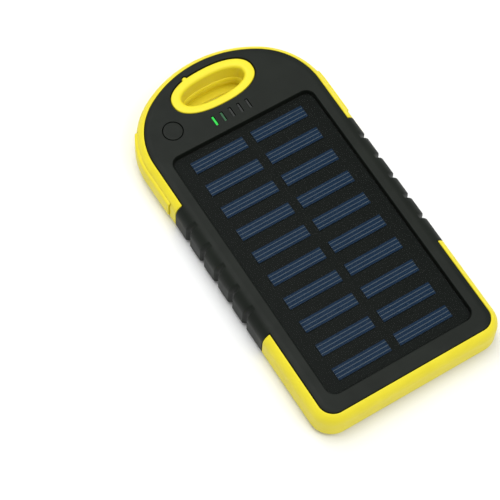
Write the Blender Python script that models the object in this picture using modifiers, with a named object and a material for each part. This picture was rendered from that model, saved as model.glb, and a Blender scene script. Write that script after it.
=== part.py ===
"""Pocket solar charger: a slab case with an arched loop end, split into a front and a rear shell.

The frame: X across the case, +Y towards the loop end, +Z out of the solar face. The origin is the
bottom centre of the whole charger. Dimensions are in millimetres; the helpers turn them into metres.
"""
from math import atan2, cos, degrees, pi, radians, sin, tan

import bmesh
import bpy
from mathutils import Matrix, Vector

MM = 0.001
GAP = 0.3                       # clearance between separate pieces

# Case plan: straight sides, round lower corners, and an arch of three arcs at the loop end.
LENGTH = 144.4
HEIGHT = 14.0
BAND = 3.0                      # how far the bumpers and grips stand outside the shells
SHELL_END = LENGTH / 2 - BAND   # the shells' reach along Y, both ways
HALF_WIDTH = 33.7
CORNER_R = 5.2
ARCH_SIDE_R = 25.0
ARCH_SIDE_X = HALF_WIDTH - ARCH_SIDE_R
ARCH_SIDE_Y = 41.7

# Heights.
SPLIT_Z = 7.0                   # the plane where the two shells meet
BAND_BOTTOM = 0.5
SHOULDER_R = 5.0                # rounding from the solar face down to the sides
SKIRT_R = 2.2                   # rounding under the bumpers and grips
WALL = 1.6
FLOOR = 1.6
TRAY_CEILING = 9.9              # underside of the tray that holds the solar panel
TRAY_FLOOR = 11.1
ARCH_CEILING = 12.2             # underside of the front shell beyond the panel
ARCH_CAVITY_Y = 41.6

# Grips on the long sides, between the two bumpers.
GRIP_TOP_Y = 22.7
GRIP_BOTTOM_Y = -33.3
GROOVES = 5                     # they part each grip into six pads
GROOVE_FIRST_Y = 14.5
GROOVE_PITCH = 9.22
GROOVE_R = 1.15

# Solar panel.
PANEL_X, PANEL_Y = 28.5, 51.3   # half sizes
PANEL_CENTRE_Y = -12.0
PANEL_CORNER_R = 3.2
RECESS_GAP = 0.4
RECESS_LOOP_GAP = 0.8           # the wider gap at the loop end
CELL_COLUMNS = (-12.4, 12.1)
CELL_ROWS = 10
CELL_PITCH = 10.06
CELL_X, CELL_Y = 10.5, 2.4      # half sizes
CELL_CENTRE_Y = -11.76
BACKING_Z = (TRAY_FLOOR + GAP, TRAY_FLOOR + 1.1)
CELL_Z = (12.4, 12.6)
COVER_Z = (12.8, 13.2)

# Loop hole and its ring, a spool clamped between the shells: half length and half width of ovals.
LOOP_Y = 58.2
LOOP_POWER = 2.3                # 2 is an ellipse, more is squarer
RING_RIM = (16.3, 7.9)
RING_TUBE = (14.3, 6.7)
RING_HOLE = (12.45, 4.65)
RING_MOUTH = (10.4, 2.7)        # the narrower mouth that the foot flange leaves at the back
MOUTH_Y = LOOP_Y - 1.2          # nearer the panel than the hole, so the far ledge is the wider one
RING_TOP, RING_BOTTOM = 13.8, 0.3
RING_FLANGE = 1.5

# Power button and its switch.
BUTTON = (-21.7, 49.5)
BUTTON_R = 3.5
BUTTON_FLANGE_R = 4.3
BUTTON_FLANGE = 1.0
STEM_R = 1.5
STEM_FOOT = 8.8
PLUNGER_R = 1.7
PLUNGER_Z = (6.4, 8.5)
SWITCH_HALF = 2.5
SWITCH_BORE, SWITCH_TOP = 5.6, 7.7

# Charge lamps.
LAMP_Y = 45.6
LAMP_PITCH = 3.45
LAMP_X, LAMP_LONG = 0.35, 1.85  # half sizes of a lamp's tip
LAMP_Z = (11.0, HEIGHT - 0.4)
LAMP_SLOT_GAP = 0.2
FOOT_X, FOOT_LONG = 0.8, 2.2    # half sizes of the light guide under the tip
FOOT_TOP = 11.8

# Circuit board and sockets.
BOARD_Z = (2.9, 3.9)
BOARD_Y = (28.0, 52.8)
BOARD_POSTS = ((-15, 30), (15, 30), (-12, 47), (12, 47))
POST_R = 1.5
PARTS_Z = BOARD_Z[1] + GAP      # what stands on the board starts here
USB_Y = 35.9
USB = (6.55, 14.0, 5.4)         # half width, depth, height
USB_MOUTH_X = 32.2
MICRO_Y = 48.6
MICRO = (3.75, 5.0, 2.6)
MICRO_MOUTH_X = 30.6
SOCKET_WALL = 0.4
PORT_OUTSIDE_X = 38.0           # the openings in the case's sides, each cut in from out here
USB_PORT = (30.0, 7.0, 3.9, 9.85)     # inner X, half width, bottom and top
MICRO_PORT = (28.0, 4.4, 3.9, 7.4)
USB_PLUG = (6.2, 4.5, 9.2)      # half width, bottom and top of what a flap puts in an opening
MICRO_PLUG = (3.5, 4.4, 6.8)
PLUG_GAP = 0.4

# Parts on the board: low and high corners in plan, and the height of the top.
INDUCTOR = ((6.0, 35.5), (13.0, 42.5), 7.6)
CONTROLLER = ((-12.0, 35.5), (-7.0, 40.5), 5.3)

# Leads from the panel to the board, and the torch in the back.
LEAD_HOLES = (-3.0, 3.0)
LEAD_Y = 34.5
TORCH = (0.0, 39.5)
TORCH_R = 4.2

# Port flaps: each fills a window in the upper bumper and swings on an upright axis at its lower end.
FLAP_PROUD = 0.6
FLAP_Z = (3.0, 10.6)
FLAP_LOW_Y = 26.9
HINGE = (HALF_WIDTH + BAND + 0.4, FLAP_LOW_Y - 0.15)
LEFT_FLAP_END = (55.3, 38.0)    # Y where the end face meets the shell, and the face's slope in degrees
RIGHT_FLAP_END = (45.0, 18.0)

# Screws from the back.
SCREWS = ((28.5, -63.6), (29.0, 24.7), (20.5, 57.3))
BOSS_R = 2.8
SCREW_R, SCREW_HEAD_R = 1.0, 2.0
PILOT_TOP = 9.5

# Battery pouch.
BATTERY_X = 25.4
BATTERY_Y = (-61.0, 21.5)
BATTERY_Z = (2.7, 9.5)


# ---------------------------------------------------------------- helpers

def clear_scene():
    for item in list(bpy.data.objects):
        bpy.data.objects.remove(item, do_unlink=True)


def new_collection(name):
    group = bpy.data.collections.new(name)
    bpy.context.scene.collection.children.link(group)
    return group


def material(name, colour, roughness, metallic=0.0):
    item = bpy.data.materials.new(name)
    item.use_nodes = True
    shader = item.node_tree.nodes["Principled BSDF"]
    shader.inputs["Base Color"].default_value = (*colour, 1.0)
    shader.inputs["Roughness"].default_value = roughness
    shader.inputs["Metallic"].default_value = metallic
    return item


def add_object(name, mesh, paint=None):
    """Link a mesh as a part, or as a hidden cutter when it has no paint."""
    item = bpy.data.objects.new(name, mesh)
    if paint:
        parts.objects.link(item)
        mesh.materials.clear()
        mesh.materials.append(paint)
    else:
        cutters.objects.link(item)
        item.hide_render = True
        item.display_type = "WIRE"
    return item


def from_bmesh(name, bm, paint=None):
    mesh = bpy.data.meshes.new(name)
    bm.to_mesh(mesh)
    bm.free()
    return add_object(name, mesh, paint)


def box(name, low, high, paint=None):
    bm = bmesh.new()
    bmesh.ops.create_cube(bm, size=1.0)
    size = [(b - a) * MM for a, b in zip(low, high)]
    centre = [(a + b) / 2 * MM for a, b in zip(low, high)]
    bmesh.ops.scale(bm, vec=size, verts=bm.verts)
    bmesh.ops.translate(bm, vec=centre, verts=bm.verts)
    return from_bmesh(name, bm, paint)


def side_box(name, side, low, high, paint=None):
    """A box given on the +X side, placed on the side asked for (+1 or -1)."""
    x_ends = sorted((side * low[0], side * high[0]))
    return box(name, (x_ends[0], *low[1:]), (x_ends[1], *high[1:]), paint)


def cylinder(name, centre, radius, z_low, z_high, paint=None, sides=24):
    bm = bmesh.new()
    bmesh.ops.create_cone(bm, cap_ends=True, segments=sides, radius1=radius * MM,
                          radius2=radius * MM, depth=(z_high - z_low) * MM)
    middle = Vector((*centre, (z_low + z_high) / 2)) * MM
    bmesh.ops.translate(bm, vec=middle, verts=bm.verts)
    return from_bmesh(name, bm, paint)


def turned(name, centre, profile, paint, sides=24):
    """A solid turned about an upright axis. The profile is (radius, z) from top to bottom."""
    bm = bmesh.new()
    points = [bm.verts.new((r * MM, 0, z * MM)) for r, z in profile]
    for upper, lower in zip(points, points[1:]):
        bm.edges.new((upper, lower))
    item = from_bmesh(name, bm, paint)
    item.location = Vector((*centre, 0)) * MM
    screw = item.modifiers.new("turn", "SCREW")
    screw.steps = screw.render_steps = sides
    screw.use_merge_vertices = True
    screw.merge_threshold = 0.000001
    return item


def baked(item, paint=None):
    """Replace an object by the mesh that its curve or modifiers make, its loose caps welded."""
    bpy.context.view_layer.update()
    solid = item.evaluated_get(bpy.context.evaluated_depsgraph_get())
    mesh = bpy.data.meshes.new_from_object(solid)
    bm = bmesh.new()
    bm.from_mesh(mesh)
    bmesh.ops.remove_doubles(bm, verts=bm.verts, dist=0.000001)
    bmesh.ops.dissolve_limit(bm, angle_limit=0.001, verts=bm.verts, edges=bm.edges)
    bm.to_mesh(mesh)
    bm.free()
    name, place = item.name, item.matrix_world.copy()
    bpy.data.objects.remove(item, do_unlink=True)
    new_item = add_object(name, mesh, paint)
    new_item.matrix_world = place
    return new_item


def slab(name, points, z_low, z_high, paint=None):
    """A flat outline given thickness."""
    curve = bpy.data.curves.new(name, "CURVE")
    curve.dimensions = "2D"
    curve.fill_mode = "BOTH"
    curve.extrude = (z_high - z_low) / 2 * MM
    spline = curve.splines.new("POLY")
    spline.points.add(len(points) - 1)
    for place, (x, y) in zip(spline.points, points):
        place.co = (x * MM, y * MM, 0, 1)
    spline.use_cyclic_u = True
    item = bpy.data.objects.new(name, curve)
    item.location.z = (z_low + z_high) / 2 * MM
    cutters.objects.link(item)
    return baked(item, paint)


def wire(name, points, radius, paint):
    curve = bpy.data.curves.new(name, "CURVE")
    curve.dimensions = "3D"
    curve.bevel_depth = radius * MM
    curve.bevel_resolution = 2
    curve.use_fill_caps = True
    spline = curve.splines.new("POLY")
    spline.points.add(len(points) - 1)
    for place, point in zip(spline.points, points):
        place.co = (*(Vector(point) * MM), 1)
    item = bpy.data.objects.new(name, curve)
    cutters.objects.link(item)
    return baked(item, paint)


def round_rim(item, z, radius, segments):
    """Round every edge that lies in the plane at height z."""
    bm = bmesh.new()
    bm.from_mesh(item.data)
    level = z * MM - item.location.z
    rim = [edge for edge in bm.edges if all(abs(v.co.z - level) < 1e-6 for v in edge.verts)]
    bmesh.ops.bevel(bm, geom=rim, offset=radius * MM, segments=segments, profile=0.5,
                    affect="EDGES", clamp_overlap=True)
    bm.to_mesh(item.data)
    bm.free()
    return item


def boolean(item, other, operation):
    step = item.modifiers.new(other.name, "BOOLEAN")
    step.operation = operation
    step.solver = "EXACT"
    step.object = other
    return item


def cut(item, *others):
    for other in others:
        boolean(item, other, "DIFFERENCE")
    return item


def join(item, other):
    return boolean(item, other, "UNION")


def keep(item, zone):
    return boolean(item, zone, "INTERSECT")


def set_origin(item, point):
    """Move an object's origin without moving its solid."""
    place = Vector(point) * MM
    item.data.transform(Matrix.Translation(item.location - place))
    item.location = place


def arc(centre, radius, start, end, steps):
    turns = [radians(start + (end - start) * i / steps) for i in range(steps + 1)]
    return [(centre[0] + radius * cos(t), centre[1] + radius * sin(t)) for t in turns]


def mirrored(points):
    return [(-x, y) for x, y in reversed(points)]


def oval(size, y=LOOP_Y, grow=0.0, steps=36):
    """A superellipse of the given half sizes."""
    points = []
    for i in range(steps):
        t = 2 * pi * i / steps
        along = abs(cos(t)) ** (2 / LOOP_POWER) * (1 if cos(t) >= 0 else -1)
        across = abs(sin(t)) ** (2 / LOOP_POWER) * (1 if sin(t) >= 0 else -1)
        points.append(((size[0] + grow) * along, y + (size[1] + grow) * across))
    return points


def rounded_rectangle(x_half, y_low, y_high, radius, steps=5):
    right = arc((x_half - radius, y_low + radius), radius, -90, 0, steps)
    right += arc((x_half - radius, y_high - radius), radius, 0, 90, steps)
    return right + mirrored(right)


def outline(grow=0.0):
    """The shells' plan, grown outwards."""
    reach = SHELL_END - ARCH_SIDE_R
    top_y = (reach**2 - ARCH_SIDE_X**2 - ARCH_SIDE_Y**2) / (2 * (reach - ARCH_SIDE_Y))
    top_r = SHELL_END - top_y
    turn = degrees(atan2(ARCH_SIDE_Y - top_y, ARCH_SIDE_X))
    corner = (HALF_WIDTH - CORNER_R, CORNER_R - SHELL_END)
    right = arc(corner, CORNER_R + grow, -90, 0, 6)
    right += arc((ARCH_SIDE_X, ARCH_SIDE_Y), ARCH_SIDE_R + grow, 0, turn, 5)
    right += arc((0, top_y), top_r + grow, turn, 90, 6)[1:]
    return right + mirrored(right[:-1])


def cropped(points, y_low, y_high):
    """The part of a plan between two lines across it, its lower end squared off."""
    inside = [(x, y) for x, y in points if y_low < y < y_high]
    return [(inside[0][0], y_low), *inside, (inside[-1][0], y_low)]


def another(item, name, paint):
    """A second object of the same shape and place, to be cut its own way."""
    twin = add_object(name, item.data.copy(), paint)
    twin.location = item.location
    return twin


# ---------------------------------------------------------------- shared cutting tools

def make_tools():
    """Cutters that more than one piece needs."""
    tools = {}
    hull = slab("hull", outline(BAND), BAND_BOTTOM, HEIGHT)
    round_rim(hull, HEIGHT, SHOULDER_R, 4)
    round_rim(hull, BAND_BOTTOM, SKIRT_R, 3)
    tools["hull"] = hull
    tools["core"] = slab("core", outline(0.0), -1, HEIGHT + 1)
    tools["core_space"] = slab("core_space", outline(GAP), -1, HEIGHT + 1)
    tools["bosses"] = [cylinder(f"boss_{i}", (side * x, y), BOSS_R, 0.2, HEIGHT - 1, sides=16)
                       for i, (side, x, y) in enumerate(screw_places())]
    collar = slab("collar", oval(RING_TUBE, grow=GAP + WALL), 0.2, HEIGHT - 1)
    tools["collar"] = collar
    tools["bridge"] = box("bridge", (-9, LOOP_Y, 0.1), (9, SHELL_END + 1, HEIGHT - 0.9))
    tools["ports"] = [port("usb_left_port", -1, USB_Y, USB_PORT),
                      port("usb_right_port", 1, USB_Y, USB_PORT),
                      port("micro_port", -1, MICRO_Y, MICRO_PORT)]
    tools["loop_bore"] = slab("loop_bore", oval(RING_TUBE, grow=GAP), -1, HEIGHT + 1)
    return tools


def port(name, side, y, sizes):
    """The opening in the case's side that leads to a socket."""
    inside_x, half, low, high = sizes
    return side_box(name, side, (inside_x, y - half, low), (PORT_OUTSIDE_X, y + half, high))


def screw_places():
    return [(side, x, y) for side in (-1, 1) for x, y in SCREWS]


def cavity(tools, hollow):
    """Leave the screw bosses and the wall round the loop hole out of a shell's hollow."""
    return cut(hollow, *tools["bosses"], tools["collar"], tools["bridge"])


def beyond(name, y, towards):
    """Everything past a plane across the case, outside the shells' plan."""
    ends = sorted((y, y + towards * 200))
    return box(name, (-60, ends[0], -5), (60, ends[1], HEIGHT + 5))


# ---------------------------------------------------------------- shells

def front_shell(tools):
    """The solar face with the grips on its sides."""
    shell = another(tools["hull"], "front_shell", BLACK)
    bumper_rooms = []
    for label, y, towards in (("upper", GRIP_TOP_Y, 1), ("lower", GRIP_BOTTOM_Y, -1)):
        room = beyond(f"{label}_bumper_room", y, towards)
        bumper_rooms.append(cut(room, tools["core"]))
    rear_room = slab("rear_shell_room", outline(GAP), -2, SPLIT_Z + GAP / 2)
    cut(shell, *bumper_rooms, rear_room)
    hollow = slab("front_hollow", outline(-WALL), SPLIT_Z - 1, TRAY_CEILING)
    arch = cropped(outline(-WALL - 0.1), ARCH_CAVITY_Y, SHELL_END)
    join(hollow, slab("arch_hollow", arch, SPLIT_Z, ARCH_CEILING))
    cut(shell, cavity(tools, hollow))
    panel_low = PANEL_CENTRE_Y - PANEL_Y - RECESS_GAP
    panel_high = PANEL_CENTRE_Y + PANEL_Y + RECESS_LOOP_GAP
    recess = slab("panel_recess",
                  rounded_rectangle(PANEL_X + RECESS_GAP, panel_low, panel_high, PANEL_CORNER_R),
                  TRAY_FLOOR, HEIGHT + 1)
    ring_seat = slab("ring_seat", oval(RING_RIM, grow=GAP), RING_TOP - RING_FLANGE - GAP, HEIGHT + 1)
    button_bore = cylinder("button_bore", BUTTON, BUTTON_R + GAP, SPLIT_Z, HEIGHT + 1)
    cut(shell, button_bore, *tools["ports"], recess)
    for i, x in enumerate(lamp_places()):
        half_x, half_y = LAMP_X + LAMP_SLOT_GAP, LAMP_LONG + LAMP_SLOT_GAP
        slot = box(f"lamp_slot_{i}", (x - half_x, LAMP_Y - half_y, SPLIT_Z),
                   (x + half_x, LAMP_Y + half_y, HEIGHT + 1))
        cut(shell, slot)
    for x in LEAD_HOLES:
        cut(shell, cylinder(f"lead_hole_{x:g}", (x, LEAD_Y), 1.0, SPLIT_Z, HEIGHT + 1, sides=12))
    for i, (side, x, y) in enumerate(screw_places()):
        cut(shell, cylinder(f"pilot_{i}", (side * x, y), SCREW_R + GAP / 2, 0, PILOT_TOP, sides=12))
    for side in (-1, 1):
        for i in range(GROOVES):
            place = (side * (HALF_WIDTH + BAND + 0.05), GROOVE_FIRST_Y - GROOVE_PITCH * i)
            cut(shell, cylinder(f"groove_{side}_{i}", place, GROOVE_R, -1, HEIGHT + 1, sides=12))
    return cut(shell, tools["loop_bore"], ring_seat)


def lamp_places():
    return [LAMP_PITCH * (i - 2) for i in range(5)]


def rear_shell(tools):
    shell = slab("rear_shell", outline(0.0), 0, SPLIT_Z - GAP / 2, BLACK)
    round_rim(shell, 0, 0.6, 1)
    cut(shell, cavity(tools, slab("rear_hollow", outline(-WALL), FLOOR, SPLIT_Z + 1)))
    for i, place in enumerate(BOARD_POSTS):
        join(shell, cylinder(f"board_post_{i}", place, POST_R, FLOOR - 0.4, BOARD_Z[0] - GAP, sides=12))
    ring_seat = slab("rear_ring_seat", oval(RING_RIM, grow=GAP), -1, RING_BOTTOM + RING_FLANGE + GAP)
    window = cylinder("torch_window", TORCH, TORCH_R + GAP, -1, FLOOR + 1)
    cut(shell, tools["loop_bore"], ring_seat, window, *tools["ports"])
    for i, (side, x, y) in enumerate(screw_places()):
        place = (side * x, y)
        cut(shell, cylinder(f"screw_hole_{i}", place, SCREW_R + GAP, -1, HEIGHT, sides=12))
        cut(shell, cylinder(f"head_room_{i}", place, SCREW_HEAD_R + GAP, -1, 1.9, sides=16))
    return shell


# ---------------------------------------------------------------- bumpers and port flaps

def flap_zone(name, side, end, grow, z_low, z_high):
    """The upright block that a flap's window fills: a lower end square to the side, a sloped far end."""
    end_y, slope = end
    x_inside = HALF_WIDTH - 7
    x_outside = HALF_WIDTH + 12
    rise = tan(radians(slope))
    meet_x = HALF_WIDTH
    if end_y > ARCH_SIDE_Y:
        meet_x = ARCH_SIDE_X + (ARCH_SIDE_R**2 - (end_y - ARCH_SIDE_Y)**2) ** 0.5
    shift = grow / cos(radians(slope))
    corners = [(x_inside, FLAP_LOW_Y - grow), (x_outside, FLAP_LOW_Y - grow)]
    corners += [(x, end_y + shift + (x - meet_x) * rise) for x in (x_outside, x_inside)]
    if side < 0:
        corners = mirrored(corners)
    return slab(name, corners, z_low - grow, z_high + grow)


def bumper(tools, name, y, towards):
    item = another(tools["hull"], name, YELLOW)
    keep(item, beyond(f"{name}_zone", y, towards))
    return cut(item, tools["core_space"])


def port_flap(tools, name, side, end, plugs):
    """A cover for the sockets on one side, with plugs that reach into their openings."""
    grown = BAND + FLAP_PROUD
    flap = slab(name, outline(grown), *FLAP_Z, YELLOW)
    round_rim(flap, FLAP_Z[0], 0.5, 1)
    round_rim(flap, FLAP_Z[1], 0.9, 2)
    keep(flap, flap_zone(f"{name}_zone", side, end, 0.0, *FLAP_Z))
    cut(flap, tools["core_space"])
    for i, (tip, base, y, half, z_low, z_high) in enumerate(plugs):
        join(flap, side_box(f"{name}_plug_{i}", side, (tip, y - half, z_low), (base, y + half, z_high)))
    set_origin(flap, (side * HINGE[0], HINGE[1], (FLAP_Z[0] + FLAP_Z[1]) / 2))
    return flap


def bumpers_and_flaps(tools):
    upper = bumper(tools, "upper_bumper", GRIP_TOP_Y + GAP, 1)
    bumper(tools, "lower_bumper", GRIP_BOTTOM_Y - GAP, -1)
    usb_plug = (USB_MOUTH_X + PLUG_GAP, HALF_WIDTH + 1, USB_Y, *USB_PLUG)
    micro_plug = (MICRO_MOUTH_X + PLUG_GAP, HALF_WIDTH, MICRO_Y, *MICRO_PLUG)
    sides = (("port_flap_left", -1, LEFT_FLAP_END, (usb_plug, micro_plug)),
             ("port_flap_right", 1, RIGHT_FLAP_END, (usb_plug,)))
    for name, side, end, plugs in sides:
        cut(upper, flap_zone(f"{name}_window", side, end, GAP, *FLAP_Z))
        port_flap(tools, name, side, end, plugs)


def loop_ring():
    """The coloured oval spool that lines the loop hole."""
    ring = slab("loop_ring", oval(RING_TUBE), RING_BOTTOM, RING_TOP, YELLOW)
    join(ring, slab("ring_rim", oval(RING_RIM), RING_TOP - RING_FLANGE, RING_TOP))
    join(ring, slab("ring_foot", oval(RING_RIM), RING_BOTTOM, RING_BOTTOM + RING_FLANGE))
    cut(ring, slab("ring_hole", oval(RING_HOLE), RING_BOTTOM + RING_FLANGE, HEIGHT + 1))
    return cut(ring, slab("ring_mouth", oval(RING_MOUTH, MOUTH_Y), -1, RING_BOTTOM + RING_FLANGE + 1))


# ---------------------------------------------------------------- solar panel

def solar_panel():
    low, high = PANEL_CENTRE_Y - PANEL_Y, PANEL_CENTRE_Y + PANEL_Y
    plan = rounded_rectangle(PANEL_X, low, high, PANEL_CORNER_R)
    slab("panel_board", plan, *BACKING_Z, PANEL_BLACK)
    slab("panel_cover", plan, *COVER_Z, CLEAR)
    first_y = CELL_CENTRE_Y + CELL_PITCH * (CELL_ROWS - 1) / 2
    for column, x in zip("ab", CELL_COLUMNS):
        for row in range(CELL_ROWS):
            y = first_y - CELL_PITCH * row
            box(f"solar_cell_{column}{row + 1}", (x - CELL_X, y - CELL_Y, CELL_Z[0]),
                (x + CELL_X, y + CELL_Y, CELL_Z[1]), CELL_BLUE)
    for colour, x, paint in (("red", LEAD_HOLES[0], RED), ("black", LEAD_HOLES[1], BLACK)):
        wire(f"panel_lead_{colour}", [(x, LEAD_Y, TRAY_FLOOR), (x, LEAD_Y, 8.4),
                                      (x, LEAD_Y - 1.2, 6.4), (x, LEAD_Y - 1.6, PARTS_Z)], 0.45, paint)


# ---------------------------------------------------------------- button, lamps and electronics

def button_and_switch():
    top, flange_top = HEIGHT, ARCH_CEILING - GAP
    turned("power_button", BUTTON,
           [(0, top), (BUTTON_R - 0.3, top), (BUTTON_R, top - 0.3), (BUTTON_R, flange_top),
            (BUTTON_FLANGE_R, flange_top), (BUTTON_FLANGE_R, flange_top - BUTTON_FLANGE),
            (STEM_R, flange_top - BUTTON_FLANGE), (STEM_R, STEM_FOOT), (0, STEM_FOOT)], BLACK)
    x, y = BUTTON
    body = box("button_switch", (x - SWITCH_HALF, y - SWITCH_HALF, PARTS_Z),
               (x + SWITCH_HALF, y + SWITCH_HALF, SWITCH_TOP), STEEL)
    cut(body, cylinder("plunger_bore", BUTTON, PLUNGER_R + GAP, SWITCH_BORE, SWITCH_TOP + 1, sides=16))
    low, high = PLUNGER_Z
    turned("switch_plunger", BUTTON, [(0, high), (PLUNGER_R, high), (PLUNGER_R, low), (0, low)],
           BLACK, sides=16)


def lamps():
    for i, x in enumerate(lamp_places()):
        guide = box(f"charge_lamp_{i + 1}", (x - LAMP_X, LAMP_Y - LAMP_LONG, LAMP_Z[0]),
                    (x + LAMP_X, LAMP_Y + LAMP_LONG, LAMP_Z[1]), LAMP_GREEN)
        join(guide, box(f"lamp_foot_{i}", (x - FOOT_X, LAMP_Y - FOOT_LONG, PARTS_Z),
                        (x + FOOT_X, LAMP_Y + FOOT_LONG, FOOT_TOP)))


def circuit_board(tools):
    board = slab("circuit_board", cropped(outline(-WALL - 0.5), *BOARD_Y), *BOARD_Z, BOARD_GREEN)
    cut(board, slab("collar_room", oval(RING_TUBE, grow=2 * GAP + WALL), 0, HEIGHT))
    return board


def socket(name, side, mouth_x, y, size):
    """A metal socket shell, open at its mouth, and the tongue inside it."""
    half, depth, height = size
    wall = SOCKET_WALL
    top = PARTS_Z + height
    back = mouth_x - depth
    shell = side_box(f"{name}_shell", side, (back, y - half, PARTS_Z), (mouth_x, y + half, top), STEEL)
    hollow = (back + wall, y - half + wall, PARTS_Z + wall), (mouth_x + 1, y + half - wall, top - wall)
    cut(shell, side_box(f"{name}_hollow", side, *hollow))
    inside = wall + GAP
    root = side_box(f"{name}_tongue", side, (back + inside, y - half + inside, PARTS_Z + inside),
                    (back + depth * 0.25, y + half - inside, top - inside), SOCKET_WHITE)
    blade_low = top - inside - height * 0.33
    join(root, side_box(f"{name}_blade", side, (back + depth * 0.2, y - half + 1.1, blade_low),
                        (mouth_x - 0.8, y + half - 1.1, top - inside - 0.2)))


def electronics():
    socket("usb_left", -1, USB_MOUTH_X, USB_Y, USB)
    socket("usb_right", 1, USB_MOUTH_X, USB_Y, USB)
    socket("micro_usb", -1, MICRO_MOUTH_X, MICRO_Y, MICRO)
    for name, (low, high, top), paint in (("boost_inductor", INDUCTOR, GREY),
                                          ("charge_controller", CONTROLLER, BLACK)):
        box(name, (*low, PARTS_Z), (*high, top), paint)
    x, y = TORCH
    box("torch_led", (x - 1.7, y - 1.7, 1.9), (x + 1.7, y + 1.7, BOARD_Z[0] - GAP), LAMP_WHITE)
    turned("torch_lens", TORCH, [(0, 1.5), (TORCH_R, 1.5), (TORCH_R, 0.3), (0, 0.3)], CLEAR)


def battery():
    low, high = BATTERY_Y
    box("battery_pad", (-20, low + 8, FLOOR + 0.2), (20, high - 8, BATTERY_Z[0] - 0.3), GREY)
    pouch = slab("battery_pouch", rounded_rectangle(BATTERY_X, low, high, 2.0, 3), *BATTERY_Z, FOIL)
    round_rim(pouch, BATTERY_Z[0], 1.2, 2)
    round_rim(pouch, BATTERY_Z[1], 1.2, 2)
    for colour, x, paint in (("red", -12.0, RED), ("black", -9.0, BLACK)):
        wire(f"battery_lead_{colour}", [(x, high + GAP, 6.5), (x, high + 3, 6.6), (x, high + 6, 6.0),
                                        (x, high + 7.6, 5.2), (x, high + 8, PARTS_Z)], 0.5, paint)


def screws():
    for i, (side, x, y) in enumerate(screw_places()):
        turned(f"case_screw_{i + 1}", (side * x, y),
               [(0, PILOT_TOP - 0.4), (SCREW_R, PILOT_TOP - 1.2), (SCREW_R, 1.6),
                (SCREW_HEAD_R, 1.6), (SCREW_HEAD_R, 0.6), (SCREW_HEAD_R - 0.4, 0.3), (0, 0.3)],
               STEEL, sides=16)


# ---------------------------------------------------------------- build

clear_scene()
parts = new_collection("solar_charger")
cutters = new_collection("cutters")

BLACK = material("black_plastic", (0.018, 0.019, 0.017), 0.5)
YELLOW = material("yellow_rubber", (0.86, 0.68, 0.02), 0.5)
PANEL_BLACK = material("panel_laminate", (0.014, 0.015, 0.014), 0.4)
CELL_BLUE = material("solar_cell", (0.008, 0.02, 0.05), 0.25)
CLEAR = material("clear_resin", (0.85, 0.87, 0.88), 0.1)
LAMP_GREEN = material("green_lamp", (0.02, 0.6, 0.1), 0.3)
LAMP_WHITE = material("white_lamp", (0.9, 0.9, 0.8), 0.4)
BOARD_GREEN = material("board_green", (0.02, 0.16, 0.06), 0.45)
STEEL = material("steel", (0.55, 0.55, 0.56), 0.3, 1.0)
SOCKET_WHITE = material("socket_white", (0.8, 0.8, 0.78), 0.5)
FOIL = material("pouch_foil", (0.62, 0.63, 0.65), 0.35, 0.8)
GREY = material("dark_grey", (0.1, 0.1, 0.1), 0.6)
RED = material("red_wire", (0.6, 0.02, 0.02), 0.4)

shared = make_tools()
front_shell(shared)
rear_shell(shared)
bumpers_and_flaps(shared)
loop_ring()
solar_panel()
button_and_switch()
lamps()
circuit_board(shared)
electronics()
battery()
screws()
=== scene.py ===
from math import atan2, cos, degrees, pi, radians, sin, tan

import bmesh
import bpy
from mathutils import Matrix, Vector


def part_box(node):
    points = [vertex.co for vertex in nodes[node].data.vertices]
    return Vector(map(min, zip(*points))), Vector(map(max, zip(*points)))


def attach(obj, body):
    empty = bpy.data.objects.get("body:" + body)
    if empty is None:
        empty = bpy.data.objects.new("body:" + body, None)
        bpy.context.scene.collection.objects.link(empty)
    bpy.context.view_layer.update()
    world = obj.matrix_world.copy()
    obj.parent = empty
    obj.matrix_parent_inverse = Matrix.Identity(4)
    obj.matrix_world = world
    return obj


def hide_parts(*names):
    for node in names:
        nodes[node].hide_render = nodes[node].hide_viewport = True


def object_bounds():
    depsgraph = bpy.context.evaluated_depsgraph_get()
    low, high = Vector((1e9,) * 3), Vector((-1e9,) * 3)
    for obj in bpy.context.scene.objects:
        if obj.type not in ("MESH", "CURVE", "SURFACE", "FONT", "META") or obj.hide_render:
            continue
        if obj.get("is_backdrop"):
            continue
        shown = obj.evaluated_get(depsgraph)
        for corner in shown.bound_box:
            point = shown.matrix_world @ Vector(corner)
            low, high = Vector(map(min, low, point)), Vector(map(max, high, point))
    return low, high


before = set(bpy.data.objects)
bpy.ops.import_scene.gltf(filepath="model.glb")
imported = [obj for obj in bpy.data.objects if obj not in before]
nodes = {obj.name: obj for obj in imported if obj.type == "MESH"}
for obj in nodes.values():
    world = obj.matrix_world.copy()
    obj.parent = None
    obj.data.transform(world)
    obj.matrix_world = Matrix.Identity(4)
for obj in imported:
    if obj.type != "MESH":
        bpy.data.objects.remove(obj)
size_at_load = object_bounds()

# Looks for the pocket solar charger. Lengths are in millimetres and turned into metres on the way
# into a mesh. X runs across the case, +Y towards the loop end, +Z out of the solar face.
MM = 0.001


def box_mm(node):
    """A CAD node's lowest and highest corners, in millimetres."""
    low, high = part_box(node)
    return [value / MM for value in low], [value / MM for value in high]


def centre_mm(node):
    low, high = box_mm(node)
    return [(a + b) / 2 for a, b in zip(low, high)]


REAR_HIGH = box_mm("rear_shell")[1]
FRONT_HIGH = box_mm("front_shell")[1]
UPPER_LOW, UPPER_HIGH = box_mm("upper_bumper")
LOWER_LOW, LOWER_HIGH = box_mm("lower_bumper")
PANEL_LOW, PANEL_HIGH = box_mm("panel_cover")
BOARD_LOW, BOARD_HIGH = box_mm("panel_board")
RING_LOW, RING_HIGH = box_mm("loop_ring")
FLAP_LOW, FLAP_HIGH = box_mm("port_flap_right")
BUTTON_LOW, BUTTON_HIGH = box_mm("power_button")

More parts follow.
